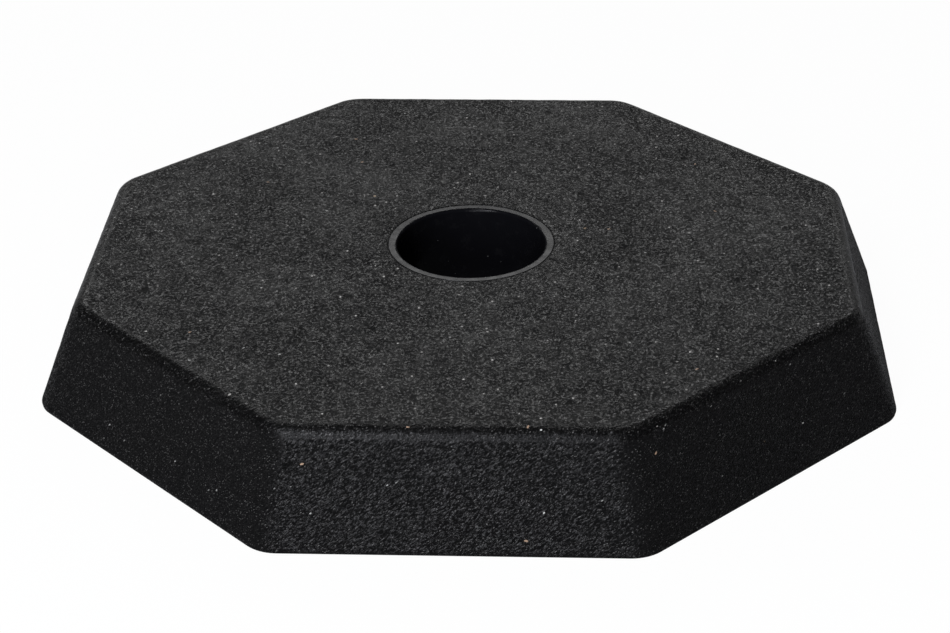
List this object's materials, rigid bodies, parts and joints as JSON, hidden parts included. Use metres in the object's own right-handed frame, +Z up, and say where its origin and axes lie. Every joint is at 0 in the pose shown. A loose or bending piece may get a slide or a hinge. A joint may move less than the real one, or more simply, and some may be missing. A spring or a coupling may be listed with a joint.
{
  "type": "octagonal rubber barrier base",
  "caption": "Heavy octagonal crumb-rubber base with sloping sides and a smooth sleeved hole that holds a barrier post upright.",
  "frame": {"origin": "centre of the underside, on the axis of the post hole", "axes": "+Z up along the post hole, -Y towards the front side, +X along the longer width across flats"},
  "size_m": [0.4046, 0.3886, 0.052],
  "materials": {
    "crumb_rubber": "matt black recycled crumb rubber with a fine wrinkled skin and light specks",
    "sleeve_plastic": "smooth satin black moulded plastic"
  },
  "bodies": {
    "root": {"rubber_body": "crumb_rubber", "bore_sleeve": "sleeve_plastic"}
  },
  "joints": []
}
